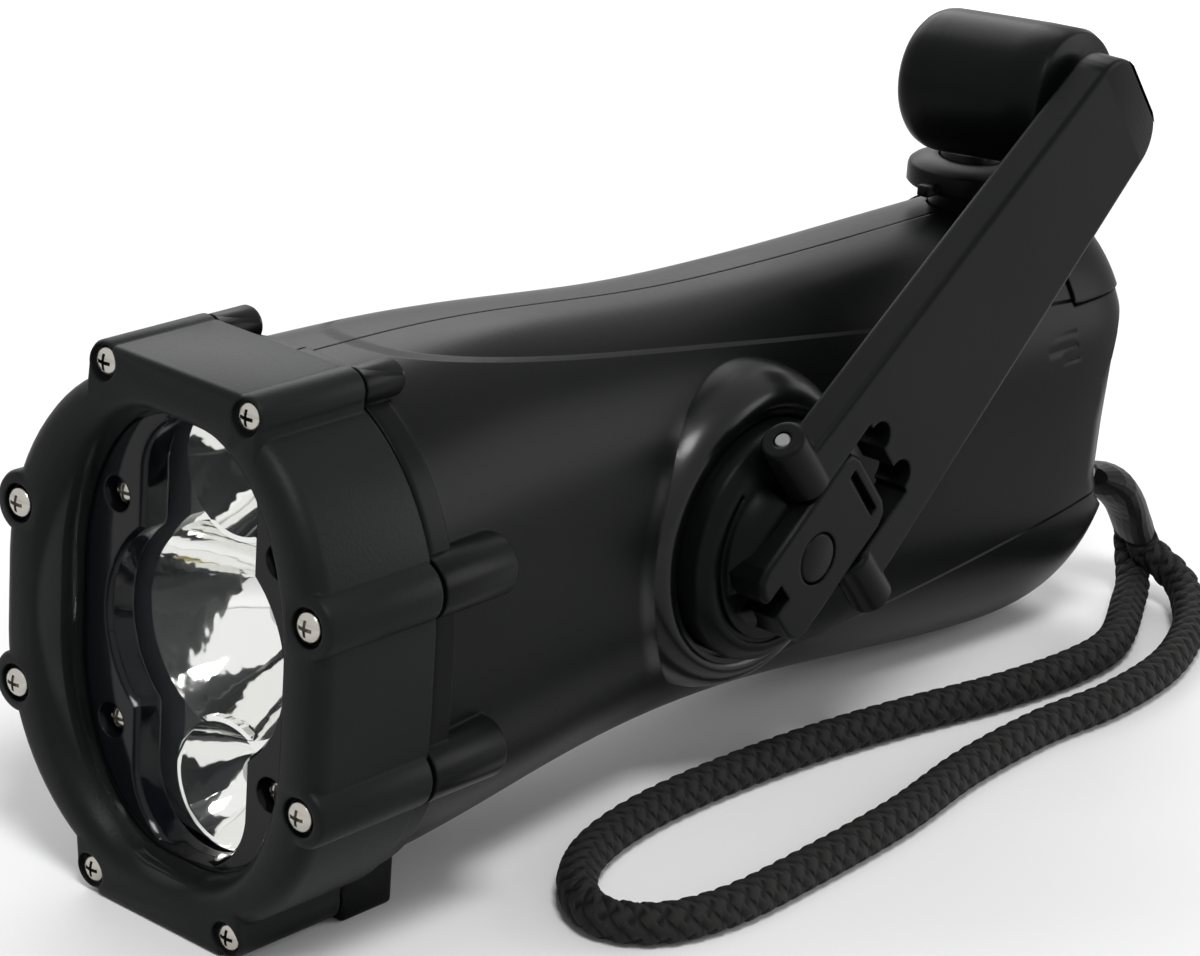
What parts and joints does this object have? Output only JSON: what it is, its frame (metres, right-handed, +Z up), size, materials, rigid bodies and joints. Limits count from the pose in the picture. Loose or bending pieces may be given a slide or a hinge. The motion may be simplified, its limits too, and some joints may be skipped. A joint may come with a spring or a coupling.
{
  "type": "hand crank flashlight",
  "caption": "Hand crank flashlight: screwed bezel over cup reflectors, waisted body, folding side crank with a turning knob, top dial with a push button, braided wrist strap.",
  "frame": {"origin": "middle of the box round the light without its strap, on the surface that it lies on", "axes": "+X from the head to the tail, +Z up, the crank on the -Y side"},
  "size_m": [0.2105, 0.0848, 0.1056],
  "materials": {
    "casing": "satin black, moulded",
    "bezel": "matte black, moulded",
    "gloss": "gloss black",
    "rubber": "matte black",
    "chrome": "bright plated",
    "nickel": "bright nickel",
    "steel": "turned",
    "clear": "clear",
    "led": "clear dome over a white base",
    "board": "green board",
    "nylon": "white nylon",
    "copper": "wound copper in a steel cup",
    "cells": "shrink-wrapped",
    "braid": "black braid"
  },
  "bodies": {
    "light_body": {"body_shell_near": "casing", "body_shell_far": "casing", "tail_cover": "casing", "bezel": "bezel", "bezel_screw_1": "nickel", "bezel_screw_2": "nickel", "bezel_screw_3": "nickel", "bezel_screw_4": "nickel", "bezel_screw_5": "nickel", "bezel_screw_6": "nickel", "bezel_screw_7": "nickel", "bezel_screw_8": "nickel", "front_seal": "rubber", "lens_frame": "gloss", "frame_screw_1": "nickel", "frame_screw_2": "nickel", "frame_screw_3": "nickel", "frame_screw_4": "nickel", "lens": "clear", "reflector_unit": "chrome", "led_board": "board", "led_middle": "led", "led_upper": "led", "led_lower": "led", "battery_holder": "bezel", "battery_cell_1": "cells", "battery_cell_2": "cells", "battery_cell_3": "cells", "battery_contact_plate": "nickel", "shaft_bush": "steel", "middle_axle": "steel", "dynamo_stator": "copper", "gear_carrier": "bezel", "case_screw_1": "nickel", "case_screw_2": "nickel", "case_screw_3": "nickel", "case_screw_4": "nickel", "switch_unit": "bezel", "control_board": "board", "strap_pin": "steel", "strap_thread": "braid", "strap_sleeve": "rubber", "strap_cord": "braid"},
    "crank": {"crank_disc": "casing", "crank_shaft": "steel", "hub_plate": "casing", "crank_gear": "nylon", "hinge_pin": "steel"},
    "arm": {"crank_arm": "casing", "knob_spindle": "steel"},
    "knob": {"crank_knob": "casing"},
    "middle_wheel": {"middle_gear": "nylon"},
    "rotor": {"dynamo_rotor": "steel"},
    "selector": {"selector_dial": "casing"},
    "button": {"push_button": "gloss"}
  },
  "joints": [
    {"name": "crank_swing", "type": "hinge", "parent": "light_body", "child": "crank", "pos_m": [-0.00105, -0.03005, 0.0399], "axis": [0, -1, 0], "range_deg": [0, 100]},
    {"name": "arm_flip", "type": "hinge", "parent": "crank", "child": "arm", "pos_m": [0.00373, -0.03005, 0.04384], "axis": [0.6361, 0, -0.7716], "range_deg": [0, 130]},
    {"name": "knob_spin", "type": "hinge", "parent": "arm", "child": "knob", "pos_m": [0.06146, -0.02725, 0.09519], "axis": [0, 0.9962, -0.0872], "continuous": true},
    {"name": "middle_wheel_spin", "type": "hinge", "parent": "light_body", "child": "middle_wheel", "pos_m": [0.01975, 0.00195, 0.0399], "axis": [0, -1, 0], "range_deg": [-334, 0]},
    {"name": "rotor_spin", "type": "hinge", "parent": "light_body", "child": "rotor", "pos_m": [0.03568, 0.00195, 0.0307], "axis": [0, -1, 0], "range_deg": [0, 1201]},
    {"name": "selector_turn", "type": "hinge", "parent": "light_body", "child": "selector", "pos_m": [0.07645, 0.00195, 0.0728], "axis": [0, 0, 1], "range_deg": [-40, 40]},
    {"name": "button_press", "type": "slide", "parent": "light_body", "child": "button", "axis": [0, 0, -1], "range_m": [0, 0.0015], "stiffness_N_per_m": 300}
  ],
  "couplings": [
    {"joint": "middle_wheel_spin", "follows": "crank_swing", "ratio": -3.3333},
    {"joint": "rotor_spin", "follows": "crank_swing", "ratio": 12}
  ]
}
